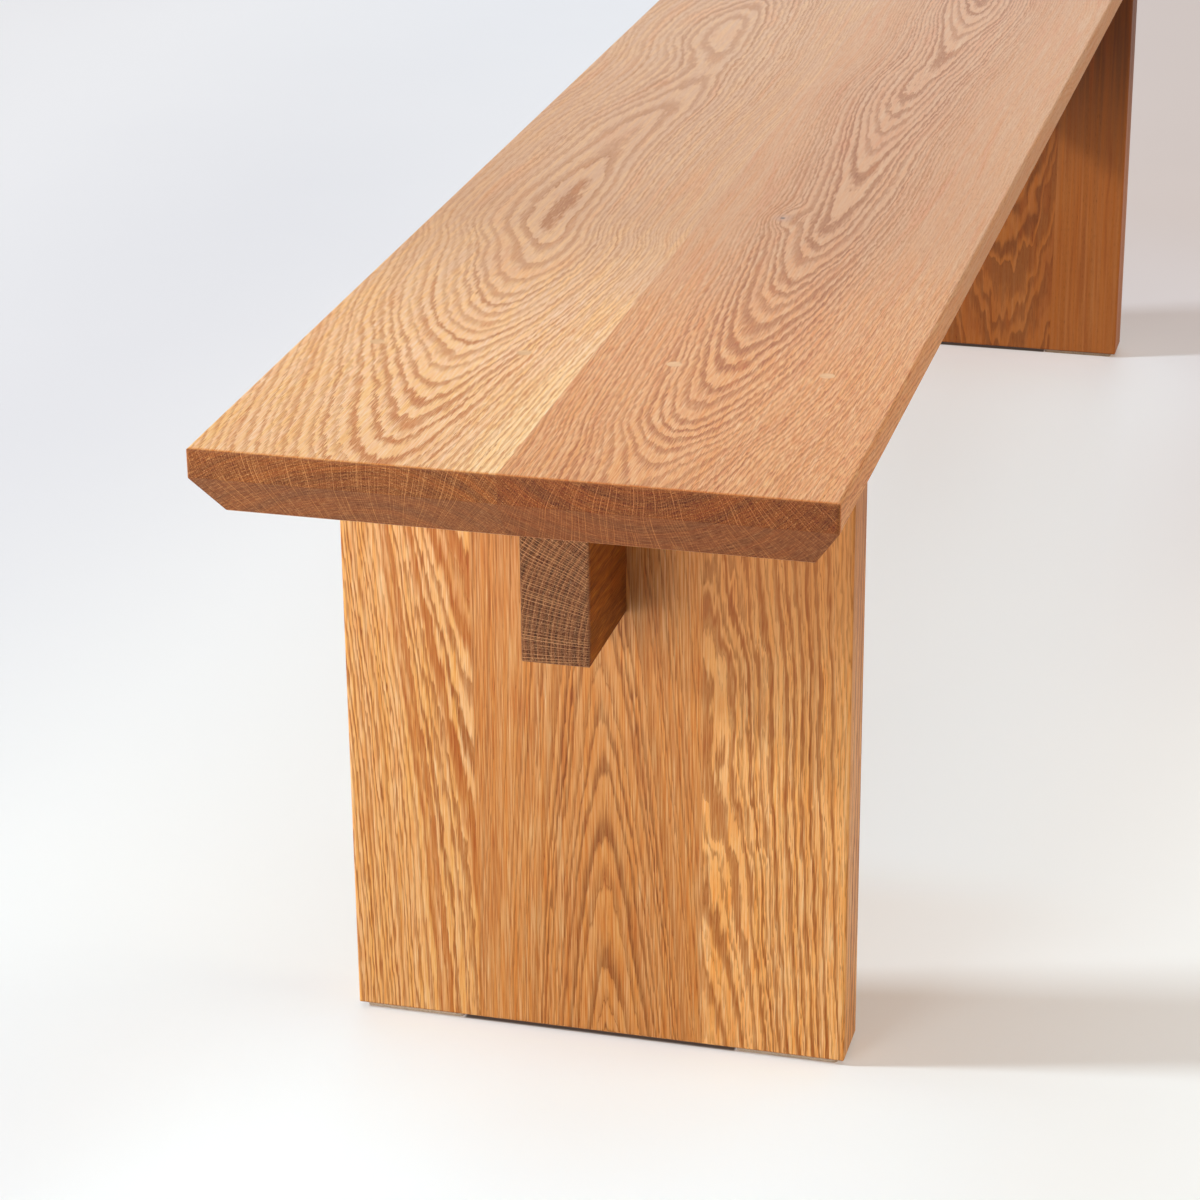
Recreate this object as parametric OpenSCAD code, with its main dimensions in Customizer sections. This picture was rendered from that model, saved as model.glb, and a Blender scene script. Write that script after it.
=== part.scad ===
// Solid oak bench: a two-board seat with bevelled undersides on two solid end legs,
// and a stretcher beam on edge that is halved over both legs.
// Millimetres. The origin is the centre of the footprint, on the floor.
// +X runs along the seat, +Y from the front to the back, +Z up.

/* [Seat] */
// Length of the seat
seat_length = 1800; // [1200:10:2400]
// Width of the seat, front to back
seat_width = 370; // [340:5:480]
// Height of the seat's top face above the floor
seat_height = 450; // [400:5:520]
// Thickness of the seat
seat_thickness = 42; // [36:1:60]
// Height of the upright part of the seat's edge, above the bevel
edge_height = 17; // [10:1:22]
// How far the bevel under the seat runs in from its edge
bevel_run = 16.5; // [8:0.5:24]
// Place of the glue joint between the two seat boards, behind the seat's middle
seat_joint = 5; // [2:0.5:9]

/* [Legs] */
// Width of each leg, front to back
leg_width = 320; // [300:5:340]
// Thickness of each leg
leg_thickness = 40; // [32:1:60]
// Distance from the end of the seat to the outer face of the leg
leg_setback = 180; // [120:5:260]
// Front glue joint of the left leg, from the leg's middle
left_front_joint = -68.5; // [-78:0.5:-64]
// Back glue joint of the left leg, from the leg's middle
left_back_joint = 77.5; // [68:0.5:88]
// Front glue joint of the right leg, from the leg's middle
right_front_joint = -95; // [-100:0.5:-80]
// Back glue joint of the right leg, from the leg's middle
right_back_joint = 66; // [64:0.5:78]

/* [Beam] */
// Thickness of the beam
beam_thickness = 42; // [32:1:50]
// Height of the beam
beam_height = 112; // [96:1:140]
// Distance from the end of the seat to the end of the beam
beam_setback = 95; // [60:5:110]
// Depth of the notch cut up into the beam, which the leg fills
notch_depth = 55; // [40:1:64]

/* [Pads] */
// Length of a pad along the foot
pad_length = 65; // [30:1:90]
// Distance from the face of the leg to the pad
pad_setback = 3; // [1:0.5:8]
// Thickness of a pad
pad_thickness = 3; // [1:0.5:6]
// Distance from the side of the leg to the pad
pad_inset = 5; // [3:0.5:20]
// Radius of a pad's corners
pad_corner = 3; // [1:0.5:5]

/* [Loose tenons of the seat] */
// Thickness of a seat tenon
seat_tenon_thickness = 8; // [6:1:10]
// Width of a seat tenon along the joint
seat_tenon_width = 22; // [18:1:30]
// Length of a seat tenon across the joint
seat_tenon_length = 40; // [30:1:50]
// Distance between seat tenons
seat_tenon_spacing = 200; // [160:10:240]
// Least distance from the end of the seat to the middle of a seat tenon
seat_tenon_end = 60; // [40:5:120]

/* [Loose tenons of the staves] */
// Thickness of a stave tenon
stave_tenon_thickness = 8; // [6:1:12]
// Width of a stave tenon along the joint
stave_tenon_width = 22; // [18:1:30]
// Length of a stave tenon across the joint
stave_tenon_length = 40; // [30:1:50]
// Height of the lower stave tenons above the floor
low_tenon_height = 90; // [60:5:160]
// Height of the upper stave tenons above the floor
high_tenon_height = 300; // [200:5:330]

/* [Loose tenons of the legs] */
// Thickness of a leg tenon
leg_tenon_thickness = 10; // [8:1:14]
// Width of a leg tenon along the leg
leg_tenon_width = 24; // [20:1:26]
// Length of a leg tenon, half of it in the seat
leg_tenon_length = 50; // [30:1:56]
// Distance from the leg's middle to a leg tenon
leg_tenon_offset = 108; // [102:1:112]

/* [Screws from the seat into the legs] */
// Distance between the four screws of a leg
leg_screw_spacing = 92; // [84:1:94]
// Length of a leg screw under its head
leg_screw_length = 80; // [60:1:90]
// Diameter of a leg screw's head
leg_screw_head_d = 8.5; // [8:0.5:10]
// Diameter of the plug over a leg screw
plug_d = 9; // [9:0.5:12]
// Depth of the plug in the seat
plug_depth = 10; // [6:1:14]

/* [Screws from the beam into the seat] */
// Diameter of a screw's shank
screw_d = 5; // [4:0.5:6]
// Length of a beam screw under its head
screw_length = 70; // [60:1:80]
// How far a beam screw reaches into the seat
screw_bite = 25; // [18:1:30]
// Length of a screw's point
screw_point = 5; // [3:0.5:8]
// Diameter of the very end of a screw's point
screw_tip_d = 1; // [0.5:0.1:2]
// Diameter of a beam screw's head
screw_head_d = 10; // [9:0.5:12]
// Height of a screw's head
screw_head_h = 3.5; // [3:0.5:5]
// Width across the flats of the screw's hexagon socket
screw_socket = 4; // [3:0.5:5]
// Diameter of a washer
washer_d = 13; // [12:0.5:15]
// Thickness of a washer
washer_t = 1.5; // [1:0.1:2.5]
// Diameter of the hole that takes a screw's head up into the beam
counterbore_d = 16; // [15.5:0.5:18]
// Number of screws on each side of the seat's middle, each midway between two seat tenons
screws_each_way = 3; // [1:1:3]
// How far the row of screws lies in front of the beam's middle
screw_offset = 6; // [4:0.5:8]

/* [Edges and fits] */
// Radius that eases the seat's arrises
seat_ease = 2.2; // [0.5:0.1:3]
// Radius that eases the legs' arrises
leg_ease = 2; // [0.5:0.1:3]
// Radius that eases the beam's arrises
beam_ease = 2; // [0.5:0.1:4]
// Gap on each face of a loose tenon
tenon_fit = 0.1; // [0.05:0.05:0.3]
// Room for glue past each end of a loose tenon
tenon_end_room = 1; // [0.5:0.1:2]
// Gap on each side where beam and leg are halved
halving_fit = 0.1; // [0.05:0.05:0.5]
// Gap around a screw's shank
screw_fit = 0.15; // [0.1:0.05:0.4]
// Room past a screw's point
screw_end_room = 1.5; // [0.5:0.5:4]
// Gap around a plug
plug_fit = 0.05; // [0.02:0.01:0.2]

/* [Hidden] */

arc_steps = 5;
round_fn = 48;
cut_past = 1;
half_turn = 180;

seat_underside = seat_height - seat_thickness;
bevel_top = seat_height - edge_height;
seat_tenon_z = seat_height - seat_thickness / 2;
seat_tenons_each_way = floor((seat_length / 2 - seat_tenon_end) / seat_tenon_spacing);
seat_tenon_xs = [for (i = [-seat_tenons_each_way : seat_tenons_each_way]) i * seat_tenon_spacing];

leg_height = seat_underside - pad_thickness;
left_leg_x = leg_setback + leg_thickness / 2 - seat_length / 2;
right_leg_x = -left_leg_x;
left_joints = [left_front_joint, left_back_joint];
right_joints = [right_front_joint, right_back_joint];
leg_front = -leg_width / 2 - cut_past;
leg_back = leg_width / 2 + cut_past;
leg_tenon_ys = [-leg_tenon_offset, leg_tenon_offset];
stave_tenon_zs = [low_tenon_height, high_tenon_height];

plug_foot = seat_height - plug_depth;
leg_screw_ys = [for (i = [-1.5 : 1.5]) i * leg_screw_spacing];

beam_length = seat_length - 2 * beam_setback;
beam_underside = seat_underside - beam_height;
notch_top = beam_underside + notch_depth;

pad_width = leg_thickness - 2 * pad_setback;
pad_y = leg_width / 2 - pad_inset - pad_length / 2;

washer_seat = seat_underside + screw_bite - screw_length + washer_t;
screw_xs = [for (i = [-screws_each_way : screws_each_way - 1]) (i + 0.5) * seat_tenon_spacing];

// A vector of length one along v
function unit(v) = v / norm(v);

// The vector v turned about the origin, counterclockwise
function turned(v, angle) = [
    v.x * cos(angle) - v.y * sin(angle),
    v.x * sin(angle) + v.y * cos(angle)
];

// The points of one corner, an arc of radius r, or the corner itself where r is 0
function corner_arc(before, corner, after, r) =
    r == 0 ? [corner] :
    let (
        back = unit(before - corner),
        on = unit(after - corner),
        half = acos(back * on) / 2,
        centre = corner + unit(back + on) * r / sin(half),
        start = corner + back * r / tan(half) - centre,
        turn = half_turn - 2 * half
    )
    [for (i = [0 : arc_steps]) centre + turned(start, turn * i / arc_steps)];

// A convex outline given as counterclockwise corners [x, y, radius]
function eased(corners) =
    let (
        n = len(corners),
        at = [for (c = corners) [c.x, c.y]]
    )
    [for (i = [0 : n - 1])
        each corner_arc(at[(i + n - 1) % n], at[i], at[(i + 1) % n], corners[i].z)];

// A rectangle about the origin with eased corners
function eased_rectangle(length, width, r) = eased([
    [length / 2, -width / 2, r],
    [length / 2, width / 2, r],
    [-length / 2, width / 2, r],
    [-length / 2, -width / 2, r]
]);

// An upright rectangle from z = low to z = high, with its lower corners eased
function upright_rectangle(width, low, high, r) = eased([
    [width / 2, low, r],
    [width / 2, high, 0],
    [-width / 2, high, 0],
    [-width / 2, low, r]
]);

// The seat seen from its side or its end: an upright edge over a bevel that runs in and down
function seat_outline(width) = eased([
    [width / 2 - bevel_run, seat_underside, seat_ease],
    [width / 2, bevel_top, seat_ease],
    [width / 2, seat_height, seat_ease],
    [-width / 2, seat_height, seat_ease],
    [-width / 2, bevel_top, seat_ease],
    [-width / 2 + bevel_run, seat_underside, seat_ease]
]);

// A flat outline drawn as Y and Z, pulled out along X about the middle
module along_x(length) {
    rotate([90, 0, 90])
        linear_extrude(length, center = true)
            children();
}

// A flat outline drawn as X and Z, pulled out along Y about the middle
module along_y(length) {
    rotate([90, 0, 0])
        linear_extrude(length, center = true)
            children();
}

// The round-ended outline of a loose tenon, its width along the first axis
module tenon_outline(width, thickness) {
    square([width - thickness, thickness], center = true);
    for (side = [-1, 1])
        translate([side * (width - thickness) / 2, 0])
            circle(d = thickness, $fn = round_fn);
}

// Everything between two values of Y, taller and longer than the bench
module slab(y_low, y_high) {
    translate([-seat_length, y_low, -cut_past])
        cube([2 * seat_length, y_high - y_low, seat_height + 2 * cut_past]);
}

// Seat

module seat_blank() {
    intersection() {
        along_x(seat_length + 2 * cut_past)
            polygon(seat_outline(seat_width));
        along_y(seat_width + 2 * cut_past)
            polygon(seat_outline(seat_length));
        translate([0, 0, seat_underside - cut_past])
            linear_extrude(seat_thickness + 2 * cut_past)
                polygon(eased_rectangle(seat_length, seat_width, seat_ease));
    }
}

// The loose tenons across the seat's joint, grown by the gap given for their mortises
module seat_tenons(gap = 0, end_room = 0) {
    for (x = seat_tenon_xs)
        translate([x, seat_joint, seat_tenon_z])
            along_y(seat_tenon_length + 2 * end_room)
                tenon_outline(seat_tenon_width + 2 * gap, seat_tenon_thickness + 2 * gap);
}

// Holes in the seat's underside for the screws that hold the beam
module seat_pilot_holes() {
    for (x = screw_xs)
        translate([x, -screw_offset, seat_underside - cut_past])
            cylinder(d = screw_d + 2 * screw_fit, h = screw_bite + screw_end_room + cut_past, $fn = round_fn);
}

// What follows, at the middle of each leg, at each of the leg's four screws
module at_leg_screws() {
    for (x = [left_leg_x, right_leg_x], y = leg_screw_ys)
        translate([x, y, 0])
            children();
}

// The holes for a leg's screws and plugs, down from the seat's top face
module leg_screw_holes() {
    screw_foot = plug_foot - screw_head_h - leg_screw_length - screw_end_room;
    at_leg_screws() {
        translate([0, 0, plug_foot - screw_head_h])
            cylinder(d = plug_d + 2 * plug_fit, h = plug_depth + screw_head_h + cut_past, $fn = round_fn);
        translate([0, 0, screw_foot])
            cylinder(d = screw_d + 2 * screw_fit, h = plug_foot - screw_foot, $fn = round_fn);
    }
}

// The board of the seat that lies between two values of Y, with its mortises and holes
module seat_board(y_low, y_high) {
    difference() {
        intersection() {
            seat_blank();
            slab(y_low, y_high);
        }
        seat_tenons(tenon_fit, tenon_end_room);
        leg_tenons(left_leg_x, tenon_fit, tenon_end_room);
        leg_tenons(right_leg_x, tenon_fit, tenon_end_room);
        seat_pilot_holes();
        leg_screw_holes();
    }
}

module top_board_front() {
    color("peru")
        seat_board(-seat_width / 2 - cut_past, seat_joint);
}

module top_board_back() {
    color("burlywood")
        seat_board(seat_joint, seat_width / 2 + cut_past);
}

module top_board_tenons() {
    color("wheat")
        seat_tenons();
}

module seat_plugs() {
    color("wheat")
        at_leg_screws()
            translate([0, 0, plug_foot])
                cylinder(d = plug_d, h = plug_depth, $fn = round_fn);
}

// Legs

module leg_blank() {
    intersection() {
        translate([0, 0, pad_thickness])
            linear_extrude(leg_height)
                polygon(eased_rectangle(leg_thickness, leg_width, leg_ease));
        along_x(leg_thickness + 2 * cut_past)
            polygon(upright_rectangle(leg_width, pad_thickness, seat_underside, leg_ease));
        along_y(leg_width + 2 * cut_past)
            polygon(upright_rectangle(leg_thickness, pad_thickness, seat_underside, leg_ease));
    }
}

// The slot down into a leg that the beam drops into, above the beam's own notch
module leg_slot() {
    slot_width = beam_thickness + 2 * halving_fit;
    translate([-leg_thickness / 2 - cut_past, -slot_width / 2, notch_top])
        cube([leg_thickness + 2 * cut_past, slot_width, seat_underside - notch_top + cut_past]);
}

// The loose tenons from a leg up into the seat
module leg_tenons(leg_x, gap = 0, end_room = 0) {
    length = leg_tenon_length + 2 * end_room;
    for (y = leg_tenon_ys)
        translate([leg_x, y, seat_underside - length / 2])
            linear_extrude(length)
                rotate(90)
                    tenon_outline(leg_tenon_width + 2 * gap, leg_tenon_thickness + 2 * gap);
}

// The loose tenons across a leg's two glue joints
module stave_tenons(leg_x, joints, gap = 0, end_room = 0) {
    for (y = joints, z = stave_tenon_zs)
        translate([leg_x, y, z])
            along_y(stave_tenon_length + 2 * end_room)
                rotate(90)
                    tenon_outline(stave_tenon_width + 2 * gap, stave_tenon_thickness + 2 * gap);
}

// The stave of a leg that lies between two values of Y, with its mortises and the beam's slot
module stave(leg_x, joints, y_low, y_high) {
    difference() {
        translate([leg_x, 0, 0])
            intersection() {
                leg_blank();
                slab(y_low, y_high);
            }
        leg_tenons(leg_x, tenon_fit, tenon_end_room);
        stave_tenons(leg_x, joints, tenon_fit, tenon_end_room);
        leg_screw_holes();
        translate([leg_x, 0, 0])
            leg_slot();
    }
}

// A pad under the foot, towards the front for side -1 and the back for side 1
module pad(leg_x, side) {
    translate([leg_x, side * pad_y, 0])
        linear_extrude(pad_thickness)
            polygon(eased_rectangle(pad_width, pad_length, pad_corner));
}

module left_leg_front_stave() {
    color("sandybrown")
        stave(left_leg_x, left_joints, leg_front, left_front_joint);
}

module left_leg_middle_stave() {
    color("burlywood")
        stave(left_leg_x, left_joints, left_front_joint, left_back_joint);
}

module left_leg_back_stave() {
    color("peru")
        stave(left_leg_x, left_joints, left_back_joint, leg_back);
}

module left_leg_stave_tenons() {
    color("wheat")
        stave_tenons(left_leg_x, left_joints);
}

module left_leg_top_tenons() {
    color("wheat")
        leg_tenons(left_leg_x);
}

module left_leg_front_pad() {
    color("lightgray")
        pad(left_leg_x, -1);
}

module left_leg_back_pad() {
    color("lightgray")
        pad(left_leg_x, 1);
}

module right_leg_front_stave() {
    color("sandybrown")
        stave(right_leg_x, right_joints, leg_front, right_front_joint);
}

module right_leg_middle_stave() {
    color("peru")
        stave(right_leg_x, right_joints, right_front_joint, right_back_joint);
}

module right_leg_back_stave() {
    color("burlywood")
        stave(right_leg_x, right_joints, right_back_joint, leg_back);
}

module right_leg_stave_tenons() {
    color("wheat")
        stave_tenons(right_leg_x, right_joints);
}

module right_leg_top_tenons() {
    color("wheat")
        leg_tenons(right_leg_x);
}

module right_leg_front_pad() {
    color("lightgray")
        pad(right_leg_x, -1);
}

module right_leg_back_pad() {
    color("lightgray")
        pad(right_leg_x, 1);
}

// Beam

module beam_blank() {
    intersection() {
        along_x(beam_length + 2 * cut_past)
            polygon(upright_rectangle(beam_thickness, beam_underside, seat_underside, beam_ease));
        along_y(beam_thickness + 2 * cut_past)
            polygon(upright_rectangle(beam_length, beam_underside, seat_underside, beam_ease));
        translate([0, 0, beam_underside - cut_past])
            linear_extrude(beam_height + 2 * cut_past)
                polygon(eased_rectangle(beam_length, beam_thickness, beam_ease));
    }
}

// The notch up into the beam that a leg fills
module beam_notch(leg_x) {
    notch_width = leg_thickness + 2 * halving_fit;
    translate([leg_x - notch_width / 2, -beam_thickness / 2 - cut_past, beam_underside - cut_past])
        cube([notch_width, beam_thickness + 2 * cut_past, notch_depth + cut_past]);
}

module stretcher_beam() {
    color("sienna")
        difference() {
            beam_blank();
            beam_notch(left_leg_x);
            beam_notch(right_leg_x);
            for (x = screw_xs)
                translate([x, -screw_offset, 0]) {
                    translate([0, 0, beam_underside - cut_past])
                        cylinder(d = counterbore_d, h = washer_seat - beam_underside + cut_past, $fn = round_fn);
                    translate([0, 0, washer_seat - cut_past])
                        cylinder(d = screw_d + 2 * screw_fit, h = seat_underside - washer_seat + 2 * cut_past,
                                 $fn = round_fn);
                }
        }
}

// Screws

// One screw, point up, with the underside of its head at z = 0 and its socket open below
module screw(length, head_d) {
    socket_depth = screw_head_h / 2;
    difference() {
        translate([0, 0, -screw_head_h])
            cylinder(d = head_d, h = screw_head_h, $fn = round_fn);
        translate([0, 0, -screw_head_h - cut_past])
            cylinder(d = screw_socket / cos(30), h = socket_depth + cut_past, $fn = 6);
    }
    cylinder(d = screw_d, h = length - screw_point, $fn = round_fn);
    translate([0, 0, length - screw_point])
        cylinder(d1 = screw_d, d2 = screw_tip_d, h = screw_point, $fn = round_fn);
}

module leg_screws() {
    color("silver")
        at_leg_screws()
            translate([0, 0, plug_foot - screw_head_h])
                rotate([half_turn, 0, 0])
                    screw(leg_screw_length, leg_screw_head_d);
}

module beam_screws() {
    color("silver")
        for (x = screw_xs)
            translate([x, -screw_offset, washer_seat - washer_t])
                screw(screw_length, screw_head_d);
}

module beam_washers() {
    color("gainsboro")
        for (x = screw_xs)
            translate([x, -screw_offset, washer_seat - washer_t])
                difference() {
                    cylinder(d = washer_d, h = washer_t, $fn = round_fn);
                    translate([0, 0, -cut_past])
                        cylinder(d = screw_d + 2 * screw_fit, h = washer_t + 2 * cut_past, $fn = round_fn);
                }
}

top_board_front();
top_board_back();
top_board_tenons();
seat_plugs();
leg_screws();
left_leg_front_stave();
left_leg_middle_stave();
left_leg_back_stave();
left_leg_stave_tenons();
left_leg_top_tenons();
left_leg_front_pad();
left_leg_back_pad();
right_leg_front_stave();
right_leg_middle_stave();
right_leg_back_stave();
right_leg_stave_tenons();
right_leg_top_tenons();
right_leg_front_pad();
right_leg_back_pad();
stretcher_beam();
beam_screws();
beam_washers();
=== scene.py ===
"""The looks of a solid oak bench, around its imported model. Metres, in the model's own frame."""
import math

import bpy
from mathutils import Matrix, Vector


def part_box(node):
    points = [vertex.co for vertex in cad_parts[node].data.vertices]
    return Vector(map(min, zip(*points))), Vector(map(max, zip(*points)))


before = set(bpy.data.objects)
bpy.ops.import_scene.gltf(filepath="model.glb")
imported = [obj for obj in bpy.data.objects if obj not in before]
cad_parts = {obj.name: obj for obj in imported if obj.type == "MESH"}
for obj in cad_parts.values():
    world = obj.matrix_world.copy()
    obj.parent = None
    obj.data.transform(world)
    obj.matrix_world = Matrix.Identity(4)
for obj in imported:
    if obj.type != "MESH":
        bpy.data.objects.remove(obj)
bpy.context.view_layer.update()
scene = bpy.context.scene

MM = 1000.0
X, Y, Z = 0, 1, 2

# The camera stands in front of the bench and past its near end. Sensor and lens are in millimetres.
CAMERA_PLACE = (-2.5878, -0.5019, 1.1225)
CAMERA_YAW = math.radians(14.9085)
CAMERA_PITCH = math.radians(-22.9775)
CAMERA_ROLL = math.radians(-0.575)
CAMERA_SENSOR = 36.0
CAMERA_LENS = 104.174
CAMERA_CLIP = (0.05, 100.0)

# Lamps: a far window on the left, a low one by the camera, a ceiling, a pale wall behind and a warm wall
# on the right. Metres and watts.
WHITE = (1.0, 1.0, 1.0)
LAMPS = [
    dict(name="window", place=(-2.914, 9.806, 6.686), target=(-0.65, 0.0, 0.15), size=1.2, power=1150,
         colour=WHITE),
    dict(name="low_window", place=(-2.0, 0.5, 0.36), target=(-0.72, 0.0, 0.22), size=0.6, power=11.5,
         colour=WHITE),
    dict(name="ceiling", place=(-0.3, 0.0, 3.2), target=(-0.3, 0.0, 0.0), size=3.0, power=45,
         colour=(0.96, 1.0, 1.0)),
    dict(name="wall_behind", place=(2.8, 0.5, 1.3), target=(-0.4, 0.0, 0.2), size=1.6, power=12,
         colour=(0.8, 0.95, 1.0)),
    dict(name="wall_right", place=(-0.4, -3.0, 1.1), target=(-0.5, 0.0, 0.2), size=1.6, power=38,
         colour=(1.0, 0.78, 0.48)),
]

# The world: a little light from all around, and the pale backdrop that the camera sees, in sRGB
WORLD_LIGHT = (0.95, 0.97, 1.0, 1.0)
WORLD_STRENGTH = 0.015
BACKDROP = (238, 238, 240)
RAYS_THAT_SEE = ("Is Camera Ray", "Is Glossy Ray", "Is Transmission Ray")

# The floor's paint: BOUNCE is what the lamps' light meets, and the others are what the camera sees. NEAR
# lies everywhere, and the rest are patches over it, with the places in millimetres where each sets in or
# ends. LEFT, CORNER, RIGHT and FAR_RIGHT are painted shade: the floor darker to the far left, in the near
# left corner, to the right from the bench's middle on, and darker still past the far leg. BACK makes the
# floor slightly bluer further back. CLOUD is the size and CLOUD_DEPTH the strength of the faint clouds over
# them all.
FLOOR_HALF = 12.0
FLOOR_BOUNCE = (0.66, 0.70, 0.75, 1.0)
FLOOR_NEAR = (0.59, 0.70, 0.75, 1.0)
FLOOR_LEFT_SHADE = (0.50, 0.595, 0.68, 1.0)
LEFT_FROM_Y = (0, 1000)
LEFT_SLANT = 0.4
FLOOR_BACK = (0.59, 0.685, 0.76, 1.0)
BACK_FROM_Y = (750, 1300)
FLOOR_CORNER_SHADE = (0.48, 0.57, 0.63, 1.0)
CORNER_FROM_Y = (120, 420)
CORNER_TO_X = (-1000, -650)
FLOOR_RIGHT_SHADE = (0.39, 0.435, 0.495, 1.0)
RIGHT_FROM_X = (-400, 700)
RIGHT_TO_Y = (-100, 500)
FLOOR_FAR_RIGHT_SHADE = (0.30, 0.30, 0.31, 1.0)
FAR_RIGHT_FROM_X = (750, 1250)
FAR_RIGHT_TO_Y = (0, 600)
FLOOR_CLOUD = 300
FLOOR_CLOUD_DEPTH = 0.04

# Below the bench the floor is painted paler, painted light that lifts the shade under the seat, but for a
# strip across it by the near leg, where that leg's shadow falls
FLOOR_BELOW_LIGHT = (0.64, 0.82, 0.93, 1.0)
BELOW_MIDDLE_Y = -20
BELOW_EDGE = (80, 330)
BELOW_STRIP_X = -600
BELOW_STRIP_EDGE = (90, 180)
BELOW_TO_X = (500, 900)

# The gap under each leg, between its pads, is painted dark, a painted shade. Its place is a little in from
# the leg's faces.
FLOOR_UNDER_SHADE = (0.12, 0.085, 0.06, 1.0)
UNDER_INSET = 1.5
UNDER_SOFT = 2.5
UNDER_PAD_SOFT = 2.0

# Far off the floor is a plain pale grey. The glow lies on top of the paint, and only a share of it under a
# leg, which paints shade there. The glow is warm and the paint bluish, so that the lit floor reads neutral
# and its shadows warm, a painted warm bounce.
FLOOR_FAR_OFF = (0.20, 0.205, 0.21, 1.0)
FAR_OFF_CENTRE = (300, 500)
FAR_OFF_EDGE = (2200, 3300)
FLOOR_GLOW = (0.312, 0.225, 0.186, 1.0)
FAR_OFF_GLOW = (0.58, 0.58, 0.59, 1.0)
UNDER_GLOW_SHARE = 0.16
FLOOR_ROUGHNESS = 0.55

# The roughness of a noise whose finest lumps stay strong
ROUGH_NOISE = 0.7

# Where the boards' own grain starts, in millimetres
SEAT_BOXES = [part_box("top_board_front"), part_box("top_board_back")]
SEAT_START = min(low.x for low, high in SEAT_BOXES) * MM
SEAT_END = max(high.x for low, high in SEAT_BOXES) * MM
SEAT_TOP = max(high.z for low, high in SEAT_BOXES) * MM
LEFT_LEG_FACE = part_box("left_leg_middle_stave")[0].x * MM
RIGHT_LEG_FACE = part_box("right_leg_middle_stave")[0].x * MM


def linear(red, green, blue):
    """An sRGB colour, each part from 0 to 255, as the linear colour that a shader takes."""
    parts = [c / 255.0 for c in (red, green, blue)]
    return tuple(c / 12.92 if c <= 0.04045 else ((c + 0.055) / 1.055) ** 2.4 for c in parts) + (1.0,)


class Value:
    """A number at each point of a surface, worked out by shader nodes."""

    def __init__(self, graph, socket):
        self.graph = graph
        self.socket = socket

    def _with(self, operation, *others):
        return self.graph.math(operation, self, *others)

    def __add__(self, other):
        return self._with("ADD", other)

    __radd__ = __add__

    def __sub__(self, other):
        return self._with("SUBTRACT", other)

    def __rsub__(self, other):
        return self.graph.math("SUBTRACT", other, self)

    def __mul__(self, other):
        return self._with("MULTIPLY", other)

    __rmul__ = __mul__

    def __truediv__(self, other):
        return self._with("DIVIDE", other)

    def __rtruediv__(self, other):
        return self.graph.math("DIVIDE", other, self)

    def __pow__(self, other):
        return self._with("POWER", other)

    def absolute(self):
        return self._with("ABSOLUTE")

    def root(self):
        return self._with("SQRT")

    def floor(self):
        return self._with("FLOOR")

    def fraction(self):
        return self._with("FRACT")

    def least(self, other):
        return self._with("MINIMUM", other)

    def most(self, other):
        return self._with("MAXIMUM", other)

    def rise(self, low, high):
        """0 below low, 1 above high and a smooth rise between them."""
        node = self.graph.node("ShaderNodeMapRange")
        node.interpolation_type = "SMOOTHSTEP"
        self.graph.feed(node.inputs["Value"], self)
        node.inputs["From Min"].default_value = low
        node.inputs["From Max"].default_value = high
        return Value(self.graph, node.outputs["Result"])

    def fall(self, low, high):
        """1 below low, 0 above high and a smooth fall between them."""
        return 1.0 - self.rise(low, high)

    def from_least(self, least):
        """A share from 0 to 1 squeezed into the span from least to 1."""
        return least + (1.0 - least) * self

    def curve(self, points):
        """The value of a smooth curve through points (x, y), at this x."""
        xs = [p[0] for p in points]
        ys = [p[1] for p in points]
        x_span = max(xs) - min(xs)
        y_span = max(ys) - min(ys) or 1.0
        node = self.graph.node("ShaderNodeFloatCurve")
        line = node.mapping.curves[0]
        while len(line.points) < len(points):
            line.points.new(0.5, 0.5)
        for place, (x, y) in zip(line.points, points):
            place.location = ((x - min(xs)) / x_span, (y - min(ys)) / y_span)
            place.handle_type = "AUTO"
        node.mapping.update()
        self.graph.feed(node.inputs["Value"], (self - min(xs)) / x_span)
        return Value(self.graph, node.outputs["Value"]) * y_span + min(ys)


class Graph:
    """A node tree, with short names for the nodes used here."""

    def __init__(self, tree):
        self.tree = tree

    def node(self, kind):
        return self.tree.nodes.new(kind)

    def feed(self, socket, value):
        if isinstance(value, Value):
            self.tree.links.new(value.socket, socket)
        else:
            socket.default_value = value

    def math(self, operation, *values):
        node = self.node("ShaderNodeMath")
        node.operation = operation
        for socket, value in zip(node.inputs, values):
            self.feed(socket, value)
        return Value(self, node.outputs[0])

    def vector(self, x, y, z):
        node = self.node("ShaderNodeCombineXYZ")
        for socket, value in zip(node.inputs, (x, y, z)):
            self.feed(socket, value)
        return Value(self, node.outputs[0])

    def parts(self, value):
        node = self.node("ShaderNodeSeparateXYZ")
        self.feed(node.inputs[0], value)
        return [Value(self, s) for s in node.outputs]

    def seen(self):
        """1 where the camera looks, straight or in a reflection or through glass, and 0 for plain light."""
        path = self.node("ShaderNodeLightPath")
        camera, glossy, through = (Value(self, path.outputs[kind]) for kind in RAYS_THAT_SEE)
        return camera.most(glossy).most(through)


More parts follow.
